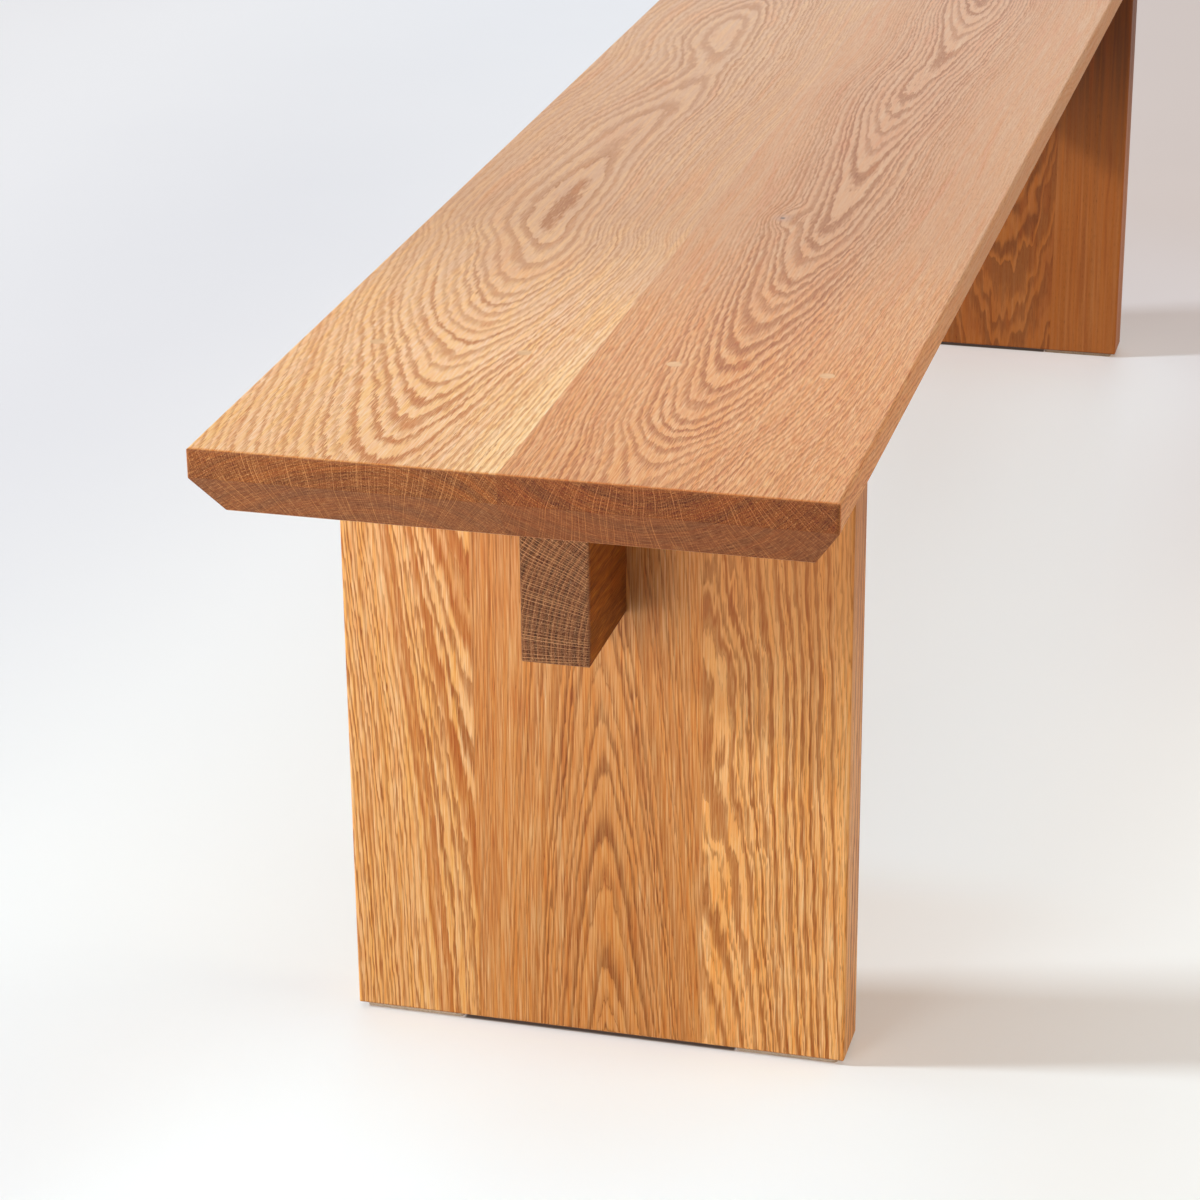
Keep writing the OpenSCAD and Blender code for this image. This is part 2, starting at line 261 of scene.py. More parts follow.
class Paint(Graph):
    """The nodes of one material."""

    def __init__(self, name):
        self.material = bpy.data.materials.new(name)
        self.material.use_nodes = True
        super().__init__(self.material.node_tree)
        self.shader = self.tree.nodes["Principled BSDF"]

    def give(self, name, value):
        """Feeds one input of the shader."""
        self.feed(self.shader.inputs[name], value)

    def place(self):
        """The point of the surface in the model's frame, in millimetres."""
        node = self.node("ShaderNodeTexCoord")
        return [part * MM for part in self.parts(Value(self, node.outputs["Object"]))]

    def facing(self, axis):
        """How squarely the surface faces along an axis, from 0 to 1."""
        node = self.node("ShaderNodeNewGeometry")
        return self.parts(Value(self, node.outputs["True Normal"]))[axis].absolute()

    def noise(self, x, y, z, detail=2.0, roughness=0.5):
        """Smooth noise about 0, mostly from -1 to 1, one unit to a lump."""
        node = self.node("ShaderNodeTexNoise")
        node.noise_dimensions = "3D"
        self.feed(node.inputs["Vector"], self.vector(x, y, z))
        node.inputs["Scale"].default_value = 1.0
        node.inputs["Detail"].default_value = detail
        node.inputs["Roughness"].default_value = roughness
        return (Value(self, node.outputs["Fac"]) - 0.5) * 2.0

    def wood_noise(self, lump, point, seed, run=1.0, detail=1.0):
        """Noise in lumps as long and as wide as given, the length stretched by run along the grain."""
        length, width = lump
        along, across, depth = point
        return self.noise(along / (length * run), across / width, depth / width + seed, detail=detail)

    def random(self, value, seed):
        """A random number from 0 to 1 for each whole value."""
        node = self.node("ShaderNodeTexWhiteNoise")
        node.noise_dimensions = "2D"
        self.feed(node.inputs["Vector"], self.vector(value, seed, 0.0))
        return Value(self, node.outputs["Value"])

    def mix(self, share, low, high):
        """A colour from low, at share 0, to high, at share 1."""
        node = self.node("ShaderNodeMix")
        node.data_type = "RGBA"
        self.feed(node.inputs["Factor"], share)
        self.feed(node.inputs[6], low)
        self.feed(node.inputs[7], high)
        return Value(self, node.outputs[2])

    def deepen(self, colour, depth):
        """A colour seen through more or less of its own stain: 1 leaves it, more is darker and richer."""
        node = self.node("ShaderNodeGamma")
        self.feed(node.inputs["Color"], colour)
        self.feed(node.inputs["Gamma"], depth)
        return Value(self, node.outputs["Color"])

    def bump(self, height_mm):
        node = self.node("ShaderNodeBump")
        node.inputs["Strength"].default_value = 1.0
        node.inputs["Distance"].default_value = 1.0 / MM
        self.feed(node.inputs["Height"], height_mm)
        return Value(self, node.outputs["Normal"])


# What each board of oak looks like. Along, across and depth are the board's own directions in millimetres:
# along the grain, across the face, and down into the wood from the face that shows.
# pith_across and pith_depth are curves of (along, place) that the heart of the tree follows past the board:
# depth is positive where the heart lies below the face and negative where it lies above it.
# low_flat and high_flat flatten the rings on each side of the heart, and crease points them above it.
# ring is a ring's width, and uneven and weak make the rings differ in width and strength.
# early_least and early_most are the least and the most of a ring that is the dark wood of its spring.
# sway, lumps, wobble and teeth bend the rings, from the broadest bends to the finest, and run stretches
# the bends along the grain.
# late and yellow are the summer wood, early and orange the spring wood, and contrast its strength.
# From the first place in fade to the second, late_far and early_far take over from late and early. On the
# seat they are darker, partly the board's own tone and partly painted shade for the light that falls off
# away from its near end. On the near leg's front stave and on the far leg they are painted shade under the
# seat, and on the beam they are plain oak past its near part, which is painted dark as shade.
# flank_fade and far_fade weaken the rings beside the heart and far along the board.
# fibre and tone stain the wood in fine and in broad lines, and streaks and blotch mix orange into it.
# bands is a curve of (radius, strength) for rings that stand out.
# soaked_and_lit_ends is how strongly the seat's end rims are stained, partly a stain and partly a painted
# highlight that the eased edge catches.
# sapwood is two places across the board: pale yellow wood before the first, none after the second.
# pin_knot is the place, along and across, of a small knot that the rings bend around.
# The other keys are for the end grain. Ray spacing and width are in millimetres at RAY_REACH from the
# heart, and higher ray_gaps break the rays up. end_contrast is the spring wood's strength, and ring_lines
# that of a pale line in each ring. bevel is a paler, greyer colour mixed in where the end slopes down,
# painted light from the pale floor that the slope faces.

RAY_REACH = 100.0
NO_FADE = (5000, 5001)

OAK = dict(
    low_flat=1.0, high_flat=1.0, crease=0.1, ring=2.1, uneven=1.0, weak=0.45,
    early_least=0.35, early_most=0.7, sway=2.0, lumps=0.7, wobble=0.6, teeth=1.1, run=1.0,
    late=(241, 188, 138), yellow=(243, 192, 124), early=(190, 111, 47), orange=(214, 132, 58),
    # On the seat the far colours are partly the board's own tone, partly painted shade away from the near
    # end
    contrast=0.86, fade=(150, 520), late_far=(194, 140, 95), early_far=(160, 97, 42),
    flank_fade=0.25, far_fade=0.6, fibre=0.6, tone=0.25, streaks=0.3, blotch=0.6,
    bands=None, soaked_and_lit_ends=0.0, sapwood=None, pin_knot=None,
    ray=3.2, ray_width=0.23, ray_gaps=0.0, ray_strength=0.8, end_contrast=0.4, ring_lines=0.0,
    end_late=(112, 58, 17), end_early=(70, 33, 9), end_orange=(150, 79, 22), end_ray=(238, 168, 98),
    bevel=(122, 79, 54),
)

SEAT_BACK = dict(
    OAK,
    pith_across=[(0, 72), (120, 80), (250, 86), (400, 90), (490, 105), (560, 106), (720, 102), (850, 92),
                 (1000, 102), (1100, 104), (1300, 96), (1500, 84), (1800, 90)],
    pith_depth=[(0, 101), (48, 97.5), (117, 93.5), (192, 87.5), (270, 79), (342, 73), (400, 69), (490, 66),
                (640, 68.5), (720, 69.5), (840, 73.5), (885, 74.5), (987, 72.5), (1095, 76), (1250, 84),
                (1400, 80), (1550, 88), (1800, 96)],
    high_flat=0.66, crease=0.08, soaked_and_lit_ends=0.8, sapwood=(8, 44), seed=3.0,
)

SEAT_FRONT = dict(
    OAK,
    pith_across=[(0, -72), (100, -76), (280, -80), (480, -81), (600, -79), (720, -74), (840, -72),
                 (980, -80), (1135, -78), (1300, -70), (1500, -76), (1800, -80)],
    pith_depth=[(0, -96), (47, -93), (115, -85), (275, -75), (380, -69), (483, -63), (592, -61),
                (680, -58.5), (833, -52.5), (980, -50), (1135, -42), (1300, -38), (1500, -48), (1800, -60)],
    late=(221, 153, 93), yellow=(224, 155, 84), early=(166, 91, 36), orange=(200, 116, 52),
    # Partly the board's own tone, partly painted shade away from the near end
    late_far=(194, 138, 91), early_far=(152, 90, 42), far_fade=0.85,
    soaked_and_lit_ends=0.8, pin_knot=(506, -47), seed=11.0,
    end_late=(103, 50, 12), end_early=(65, 28, 6), end_orange=(137, 65, 13), end_ray=(222, 146, 80),
    bevel=(136, 85, 50),
)

LEG_BACK = dict(
    OAK,
    pith_across=[(0, 60), (200, 66), (408, 72)],
    pith_depth=[(0, 83), (140, 81), (285, 73.5), (408, 66)],
    bands=[(60, 0), (70.8, 0), (72.5, 1), (74, 0.3), (75.5, 0.9), (76.8, 0), (81, 0), (82.5, 1), (84, 0.1),
           (89.5, 0), (91, 0.9), (92.3, 0.2), (93.7, 0.7), (95, 0), (130, 0)],
    crease=0.0, uneven=1.1, weak=0.4, early_most=0.6, sway=3.0, lumps=1.4, wobble=1.0, teeth=0.8, run=1.7,
    late=(223, 164, 102), yellow=(225, 164, 88), early=(157, 87, 26), orange=(178, 99, 30),
    contrast=0.95, fade=NO_FADE, flank_fade=0.0, blotch=0.5, seed=23.0,
)

LEG_MIDDLE = dict(
    OAK,
    pith_across=[(0, -8), (120, -6), (255, -5), (408, 0)],
    pith_depth=[(0, 78), (117, 85), (177, 89), (255, 93), (408, 100)],
    crease=0.22, ring=2.2, uneven=2.0, weak=0.8, early_least=0.25, early_most=0.6,
    sway=1.6, wobble=0.7, teeth=0.8, run=2.2,
    late=(199, 131, 68), yellow=(208, 139, 68), early=(132, 70, 18), orange=(165, 88, 27),
    contrast=0.85, fade=NO_FADE, tone=0.4, streaks=0.4, seed=31.0,
)

LEG_FRONT = dict(
    OAK,
    pith_across=[(0, -66), (408, -66)],
    pith_depth=[(0, 68), (60, 71), (95, 73), (136, 74), (150, 75.2), (172, 76), (180, 76.6), (265, 77.6),
                (285, 79), (310, 80.5), (408, 84)],
    bands=[(60, 0), (69.6, 0), (70.5, 0.7), (71.4, 0), (72.6, 0), (73.5, 0.8), (74.3, 0), (76.3, 0),
           (77.1, 0.8), (77.9, 0.1), (79.4, 0), (80.2, 1), (81, 0), (82.5, 0), (83.3, 1), (84.1, 0),
           (85.6, 0.1), (86.4, 0.7), (87.2, 0), (88.4, 0), (89.4, 1), (90.4, 0), (93.3, 0), (94.4, 1),
           (95.5, 0), (96.7, 0.1), (97.5, 0.9), (98.4, 0), (99.8, 0), (100.7, 1), (101.6, 0), (103, 0),
           (104, 1), (105, 0.1), (107, 0.1), (108, 0.9), (109, 0), (112, 0), (113, 0.9), (114, 0),
           (130, 0)],
    crease=0.0, ring=1.5, uneven=1.5, weak=0.6, early_least=0.3, early_most=0.6,
    sway=1.8, lumps=1.3, wobble=1.2, teeth=0.9, run=1.8,
    late=(234, 170, 102), yellow=(234, 166, 88), early=(148, 83, 24), orange=(156, 84, 22),
    # Darker from fade up to its top: painted shade under the seat's overhang
    contrast=0.6, fade=(190, 340), late_far=(198, 131, 66), early_far=(128, 68, 19),
    flank_fade=0.0, far_fade=0.0, streaks=0.2, blotch=0.5, seed=47.0,
)

FAR_LEG = dict(
    OAK,
    pith_across=[(0, -48), (200, -52), (408, -48)],
    pith_depth=[(0, 84), (100, 72), (210, 59), (300, 48), (408, 35)],
    crease=0.0, ring=5.0, weak=0.3, early_least=0.6, sway=5.0, lumps=4.0, teeth=0.3,
    # Painted darker than the near leg, painted shade under the seat, and from fade up darker still, more
    # painted shade
    late=(176, 103, 46), yellow=(180, 106, 42), early=(106, 54, 21), orange=(146, 72, 24),
    contrast=0.7, fade=(140, 330), late_far=(98, 51, 18), early_far=(66, 32, 11),
    flank_fade=0.7, fibre=0.12, tone=0.2, streaks=0.5, blotch=0.8, seed=53.0,
)

# The far leg's outer staves, with the same painted shade
FAR_LEG_PLAIN = dict(
    FAR_LEG,
    pith_across=[(0, -330), (408, -320)],
    pith_depth=[(0, 60), (408, 80)],
    ring=7.0, uneven=2.5, weak=0.8, sway=2.0, lumps=0.7, run=2.5,
    contrast=0.14, flank_fade=0.0, fibre=0.08, blotch=0.4, seed=57.0,
)

BEAM = dict(
    OAK,
    pith_across=[(0, 304), (1800, 320)],
    pith_depth=[(0, 108), (600, 112), (1200, 120), (1800, 112)],
    crease=0.0, ring=4.0, sway=1.0,
    # Up to fade the beam is painted dark and deep orange, a painted shade under the seat; past it plain oak
    late=(114, 57, 6), yellow=(134, 70, 9), early=(94, 45, 6), orange=(108, 52, 7),
    fade=(185, 215), seed=61.0,
    ray=2.0, ray_width=0.28, ray_gaps=-0.5, ray_strength=0.85, end_contrast=0.75, ring_lines=0.2,
    end_late=(106, 58, 26), end_early=(55, 28, 12), end_orange=(115, 62, 24), end_ray=(218, 160, 104),
)

# Lumps of noise in the wood, in millimetres: how long along the grain and how wide across it
SWAY = (150, 45)
LUMPS = (45, 9)
WOBBLE = (13, 3.2)
TEETH = (12, 0.9)
RAGGED = (12, 0.8)
BLOTCH = (55, 10)
PORES = (6, 0.5)
FIBRE = (14, 0.8)
TONE = (80, 3.5)
CLOUD = (220, 40)
WANDER = (90, 14)

# The rings, in millimetres: the strip over the heart where the flattening changes sides, the rounding of
# the crease, the span in which the rings' widths differ, how far from the heart the teeth grow from
# TEETH_LEAST to their full strength, and where the flanks set in. A ragged noise and the blotches widen the
# spring wood by a share.
HEART_STRIP = (-15, 15)
CREASE_ROUND = 6.0
UNEVEN_SPAN = 8
TEETH_RISE = (4, 45)
TEETH_LEAST = 0.35
RAGGED_SHARE = 0.6
BLOTCH_WIDENING = 0.4
FLANK = (20, 80)

# Across one ring, in shares of its width: the spring wood's fade and its sharp start, and the pale line
SPRING_FADE = (-0.1, 0.75)
SPRING_START = (0.86, 1.0)
LINE_RISE = (0.64, 0.72)
LINE_FALL = (0.74, 0.82)

# A face along the grain: edges are where a mark's noise sets in and where it is full, and the others are
# strengths. The far shares are how much of a mark is gone where the board has faded.
FAR_SHARE = 0.7
BLOTCH_FAR_SHARE = 0.6
BLOTCH_EDGE = (0.05, 0.5)
YELLOW_EDGE = (-0.3, 0.4)
STREAK_EDGE = (0.02, 0.5)
PORE_EDGE = (0.1, 0.5)
PORE_LEAST = 0.3
PORE_DARK = 0.45
PORE_DIM = 0.7
BAND_DARK = 0.9
WANDER_SHARE = 0.8
STREAK_SPAN = (5, 160)
CLOUD_STAIN = 0.1

# Sapwood: its colour, its strength and where it ends along the board
SAPWOOD = (252, 210, 148)
SAPWOOD_SHARE = 0.8
SAPWOOD_TO = (60, 330)

# The stained rim at the seat's ends, partly a stain and partly a painted highlight on the eased edge, in
# millimetres from the end
RIM = (0.6, 3.4)

# The pin knot: how far along and across it reaches, where in those reaches its bend of the rings ends and by
# how many millimetres it bends them, and its own disc, with a pale ring and a dark heart
KNOT_REACH = (26, 13)
KNOT_REACH_END = 1.6
KNOT_BEND = 5.0
KNOT_DISC = (3.0, 2.2)
KNOT_RING = (176, 132, 108)
KNOT_RING_EDGE = (0.8, 4.0)
KNOT_RING_SHARE = 0.5
KNOT_HEART = (84, 60, 46)
KNOT_HEART_EDGE = (0.4, 1.0)
KNOT_HEART_SHARE = 0.8

# Rays keep a margin in their spacing, wander by a share of it over spans in millimetres, and fade in and
# out along their way. Their edge is in shares of their width, and the stride gives each ray its own noise.
RAY_MARGIN = 0.25
RAY_EDGE = (0.25, 0.75)
RAY_WANDER = 0.8
RAY_WANDER_SPAN = (40, 30)
RAY_LENGTH = 28
RAY_DEPTH = 30
RAY_STRIDE = 7.3
RAY_GAP_SOFT = 0.15
RAY_LEAST = 0.3
FINE_RAYS_TO_ONE = 2.4
FINE_RAY_WIDTH = 0.3
FINE_RAY_GAPS = -0.15
FINE_RAY_SHARE = 0.25

# The end grain, in millimetres: broad tones and fine arcs, each as wide across the rings and as long along
# them as given, and fine grain. The stains and the rays change from a sloping end to an upright one.
END_TONES = (6, 80)
END_TONES_EDGE = (-0.7, 0.7)
END_ARCS = (0.7, 6)
END_GRAIN = 0.7
END_GRAIN_DEEP = 3
ARC_STAIN = 0.45
SLOPE_STAIN = 0.4
UPRIGHT_STAIN = 0.65
SLOPE_RAYS = 0.6
# How much of the painted floor light lies where the end slopes down
BEVEL_LIGHT_SHARE = 0.35

# How squarely a face looks along the grain where it turns into end grain, and where that stands upright
END_FACE = (0.35, 0.8)
UPRIGHT_FACE = (0.86, 0.97)

# How rough and how deep the wood is to the light: roughness, and depths in millimetres
OAK_ROUGHNESS = 0.44
EARLY_ROUGHNESS = 0.08
PORE_ROUGHNESS = 0.15
END_ROUGHNESS = 0.2
PORE_DEPTH = 0.05
EARLY_DEPTH = 0.03
FIBRE_DEPTH = 0.03
LOW_SPECULAR = 0.25

# The small pieces: lumps of noise along x, y and z in millimetres, and the two sRGB colours between them
FELT = dict(lumps=(1.2, 1.2, 0.6), spread=0.6, dark=(168, 142, 116), light=(214, 190, 164))
PLUG = dict(lumps=(0.9, 14, 0.9), spread=0.5, dark=(204, 147, 98), light=(234, 187, 133))
STEEL = dict(lumps=(2, 2, 2), spread=0.5, dark=(176, 178, 182), light=(214, 215, 218))
FELT_ROUGHNESS = 0.95
FELT_UNEVEN = 0.03
FELT_SHEEN = 0.3
FELT_DEPTH = 0.12
PLUG_ROUGHNESS = 0.45
STEEL_ROUGHNESS = 0.34
STEEL_UNEVEN = 0.08


def from_knot(board, point, reach):
    """How far the point lies from the board's pin knot, in reaches along the board and across it."""
    along_share = (point[0] - board["pin_knot"][0]) / reach[0]
    across_share = (point[1] - board["pin_knot"][1]) / reach[1]
    return (along_share * along_share + across_share * across_share).root()


def rings(paint, board, point):
    """The point's distance from the heart of the tree, its distance to the side, and the ray it lies on."""
    along, across, depth = point
    seed = board["seed"]
    run = board["run"]
    sway = paint.wood_noise(SWAY, point, seed, run) * (2 * board["sway"])
    side = across - along.curve(board["pith_across"]) + sway
    down = (depth - along.curve(board["pith_depth"])).absolute()
    flat = board["low_flat"] + side.rise(*HEART_STRIP) * (board["high_flat"] - board["low_flat"])
    flattened = side * flat
    gable = (side * side + CREASE_ROUND * CREASE_ROUND).root() * board["crease"]
    lumps = paint.wood_noise(LUMPS, point, seed, run) * board["lumps"]
    radius = (flattened * flattened + down * down).root() + gable + lumps
    if board["pin_knot"]:
        radius = radius - from_knot(board, point, KNOT_REACH).fall(0, KNOT_REACH_END) * KNOT_BEND
    ray = side * (RAY_REACH / down) ** (flat * flat)
    return radius, side, ray


def torn_radius(paint, board, point, radius, side):
    """The distance from the heart with fine bends, which tear the edges of the rings."""
    seed = board["seed"]
    run = board["run"]
    wobble = paint.wood_noise(WOBBLE, point, seed, run, detail=2.0) * board["wobble"]
    teeth = paint.wood_noise(TEETH, point, seed, run) * board["teeth"]
    return radius + wobble + teeth * side.absolute().rise(*TEETH_RISE).from_least(TEETH_LEAST)


def early_wood(paint, board, radius, widening):
    """1 in the dark porous wood of each ring's spring, fading into the pale wood of its summer."""
    seed = board["seed"]
    uneven = paint.noise(radius / UNEVEN_SPAN, seed, 0.0, detail=1.0) * board["uneven"]
    count = radius / board["ring"] + uneven
    index = count.floor()
    share = count.fraction()
    least = board["early_least"]
    strip = least + paint.random(index, seed) * (board["early_most"] - least)
    strength = 1.0 - paint.random(index, seed + 5.0) * board["weak"]
    profile = (strip - share) / strip + widening
    return profile.rise(*SPRING_FADE).most(share.rise(*SPRING_START)) * strength, share


def ray_lines(paint, ray, radius, along, spacing, width, gaps, seed):
    """1 on the pale rays that run out from the heart, one in each spacing, most of them broken."""
    out, around = RAY_WANDER_SPAN
    wander = paint.noise(radius / out, ray / around, seed, detail=0.0) * RAY_WANDER
    count = ray / spacing + wander
    index = count.floor()
    place = RAY_MARGIN + (1.0 - 2.0 * RAY_MARGIN) * paint.random(index, seed + 1.0)
    full, gone = [edge * width / spacing for edge in RAY_EDGE]
    line = (count.fraction() - place).absolute().fall(full, gone)
    reach = paint.noise(index * RAY_STRIDE, radius / RAY_LENGTH, along / RAY_DEPTH + seed, detail=0.0)
    unbroken = reach.rise(gaps - RAY_GAP_SOFT, gaps + RAY_GAP_SOFT)
    return line * unbroken * paint.random(index, seed + 2.0).from_least(RAY_LEAST)


def with_pin_knot(paint, board, point, face):
    """The face's colour with the small knot's pale ring and dark heart."""
    stub = from_knot(board, point, KNOT_DISC)
    face = paint.mix(stub.fall(*KNOT_RING_EDGE) * KNOT_RING_SHARE, face, linear(*KNOT_RING))
    return paint.mix(stub.fall(*KNOT_HEART_EDGE) * KNOT_HEART_SHARE, face, linear(*KNOT_HEART))


def summer_colour(paint, board, point, radius, far, tone):
    """The colour of the pale wood: late, with yellow lines, sapwood and orange streaks."""
    along, across = point[:2]
    colour = paint.mix(far, linear(*board["late"]), linear(*board["late_far"]))
    yellow = tone.rise(*YELLOW_EDGE) * (1.0 - FAR_SHARE * far)
    colour = paint.mix(yellow, colour, linear(*board["yellow"]))
    if board["sapwood"]:
        sapwood = across.fall(*board["sapwood"]) * along.fall(*SAPWOOD_TO)
        colour = paint.mix(sapwood * SAPWOOD_SHARE, colour, linear(*SAPWOOD))
    wander = paint.wood_noise(WANDER, point, board["seed"], detail=2.0) * WANDER_SHARE
    width, length = STREAK_SPAN
    streaks = paint.noise(radius / width + wander, along / length, board["seed"] + 3.0, detail=1.0)
    share = streaks.rise(*STREAK_EDGE) * board["streaks"]
    return paint.mix(share, colour, linear(*board["orange"]))


def long_face(paint, board, point, radius, side):
    """The colour of a face along the grain, and how much spring wood, pore and fibre it shows."""
    along = point[0]
    seed = board["seed"]
    run = board["run"]
    far = along.rise(*board["fade"])
    flank = side.absolute().rise(*FLANK)
    blotch = paint.wood_noise(BLOTCH, point, seed + 7.0).rise(*BLOTCH_EDGE) * board["blotch"]
    torn = torn_radius(paint, board, point, radius, side)
    ragged = paint.wood_noise(RAGGED, point, seed + 2.0, run) * RAGGED_SHARE
    early = early_wood(paint, board, torn, ragged + blotch * BLOTCH_WIDENING)[0]
    pores = paint.wood_noise(PORES, point, seed).rise(*PORE_EDGE) * early.from_least(PORE_LEAST)
    fibre = paint.wood_noise(FIBRE, point, seed, run)
    tone = paint.wood_noise(TONE, point, seed, run, detail=2.0)
    cloud = paint.wood_noise(CLOUD, point, seed, detail=2.0)

    late = summer_colour(paint, board, point, radius, far, tone)
    dark = paint.mix(far, linear(*board["early"]), linear(*board["early_far"]))
    dark = paint.mix(blotch * (1.0 - BLOTCH_FAR_SHARE * far), dark, linear(*board["orange"]))
    contrast = (1.0 - flank * board["flank_fade"]) * (1.0 - flank * far * board["far_fade"])
    face = paint.mix(early * (contrast * board["contrast"]), late, dark)
    if board["bands"]:
        band = torn.curve(board["bands"]).most(0.0)
        face = paint.mix(band * BAND_DARK, face, linear(*board["orange"]))
    face = paint.mix(pores * PORE_DARK, face, linear(*[PORE_DIM * c for c in board["early"]]))
    if board["pin_knot"]:
        face = with_pin_knot(paint, board, point, face)
    # The rim at each end of the seat: partly stain, partly a painted highlight on the eased edge
    if board["soaked_and_lit_ends"]:
        from_end = along.least(SEAT_END - SEAT_START - along)
        face = paint.mix(from_end.fall(*RIM) * board["soaked_and_lit_ends"], face, linear(*board["orange"]))
    stain = fibre * board["fibre"] * (1.0 - FAR_SHARE * far) + tone * board["tone"] + cloud * CLOUD_STAIN
    return paint.deepen(face, 1.0 + stain), early, pores, fibre


def end_face(paint, board, point, radius, ray, upright):
    """The colour of a face across the grain, with its rings and rays, calmer where it slopes, and with
    painted floor light there.
    """
    along, across, depth = point
    seed = board["seed"]
    spacing = board["ray"]
    rays = ray_lines(paint, ray, radius, along, spacing, board["ray_width"], board["ray_gaps"], seed)
    spacing = spacing / FINE_RAYS_TO_ONE
    fine_rays = ray_lines(paint, ray, radius, along, spacing, FINE_RAY_WIDTH, FINE_RAY_GAPS, seed + 9.0)
    tones = paint.noise(radius / END_TONES[0], ray / END_TONES[1], seed + 4.0, detail=1.0)
    arcs = paint.noise(radius / END_ARCS[0], ray / END_ARCS[1], seed + 2.0, detail=1.0)
    into = along / END_GRAIN_DEEP + seed
    grain = paint.noise(across / END_GRAIN, depth / END_GRAIN, into, roughness=ROUGH_NOISE)
    early, share = early_wood(paint, board, radius, 0.0)
    tones = tones.rise(*END_TONES_EDGE)
    colour = paint.mix(tones, linear(*board["end_late"]), linear(*board["end_orange"]))
    colour = paint.mix(early * board["end_contrast"], colour, linear(*board["end_early"]))
    # Painted light from the pale floor, where the end slopes down
    colour = paint.mix((1.0 - upright) * BEVEL_LIGHT_SHARE, colour, linear(*board["bevel"]))
    stain = arcs * ARC_STAIN + grain * (SLOPE_STAIN + UPRIGHT_STAIN * upright)
    colour = paint.deepen(colour, 1.0 + stain)
    if board["ring_lines"]:
        ring_line = share.rise(*LINE_RISE) * share.fall(*LINE_FALL) * board["ring_lines"]
        colour = paint.mix(ring_line, colour, linear(*board["end_ray"]))
    colour = paint.mix(fine_rays * FINE_RAY_SHARE, colour, linear(*board["end_ray"]))
    ray_share = rays * board["ray_strength"] * upright.from_least(SLOPE_RAYS)
    return paint.mix(ray_share, colour, linear(*board["end_ray"]))


def oak(name, board, grain_axis, frame_of):
    """Oak whose rings, pores and rays run through the wood, so that every face and end agrees."""
    paint = Paint(name)
    point = frame_of(paint.place())
    radius, side, ray = rings(paint, board, point)
    face, early, pores, fibre = long_face(paint, board, point, radius, side)
    facing = paint.facing(grain_axis)
    end = facing.rise(*END_FACE)
    across_grain = end_face(paint, board, point, radius, ray, facing.rise(*UPRIGHT_FACE))
    paint.give("Base Color", paint.mix(end, face, across_grain))
    roughness = OAK_ROUGHNESS + early * EARLY_ROUGHNESS + pores * PORE_ROUGHNESS + end * END_ROUGHNESS
    paint.give("Roughness", roughness)
    paint.give("Specular IOR Level", LOW_SPECULAR)
    paint.give("Normal", paint.bump(pores * -PORE_DEPTH + early * -EARLY_DEPTH + fibre * -FIBRE_DEPTH))
    return paint.material


def seat_frame(place):
    """Along the seat from its near end, across it, and down from its top face."""
    x, y, z = place
    return x - SEAT_START, y, SEAT_TOP - z


def left_leg_frame(place):
    """Up the near leg, across it, and in from its outer face."""
    x, y, z = place
    return z, y, x - LEFT_LEG_FACE


def right_leg_frame(place):
    """Up the far leg, across it, and in from the face that looks at the near leg."""
    x, y, z = place
    return z, y, x - RIGHT_LEG_FACE


def beam_frame(place):
    """Along the seat from its near end, up the beam's side, and from the beam's middle to its front."""
    x, y, z = place
    return x - SEAT_START, z, 0 - y


def mottled(name, lumps, spread, dark, light, **grain):
    """A material between two colours in lumps of noise, and that noise."""
    paint = Paint(name)
    noise = paint.noise(*[part / lump for part, lump in zip(paint.place(), lumps)], **grain)
    paint.give("Base Color", paint.mix(noise.rise(-spread, spread), linear(*dark), linear(*light)))
    return paint, noise


def felt(name):
    paint, fluff = mottled(name, **FELT, detail=4.0, roughness=ROUGH_NOISE)
    paint.give("Roughness", FELT_ROUGHNESS + fluff * FELT_UNEVEN)
    paint.give("Sheen Weight", FELT_SHEEN)
    paint.give("Normal", paint.bump(fluff * FELT_DEPTH))
    return paint.material


def plug(name):
    """A small disc of pale oak, its grain across the seat."""
    paint = mottled(name, **PLUG, roughness=0.6)[0]
    paint.give("Roughness", PLUG_ROUGHNESS)
    paint.give("Specular IOR Level", LOW_SPECULAR)
    return paint.material


def steel(name):
    paint, stain = mottled(name, **STEEL, detail=3.0)
    paint.give("Roughness", STEEL_ROUGHNESS + stain * STEEL_UNEVEN)
    paint.give("Metallic", 1.0)
    return paint.material


def dress(node, material):
    """Gives a CAD piece its material, in each of its slots."""
    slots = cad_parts[node].data.materials
    if not slots:
        slots.append(material)
    for i in range(len(slots)):
        slots[i] = material


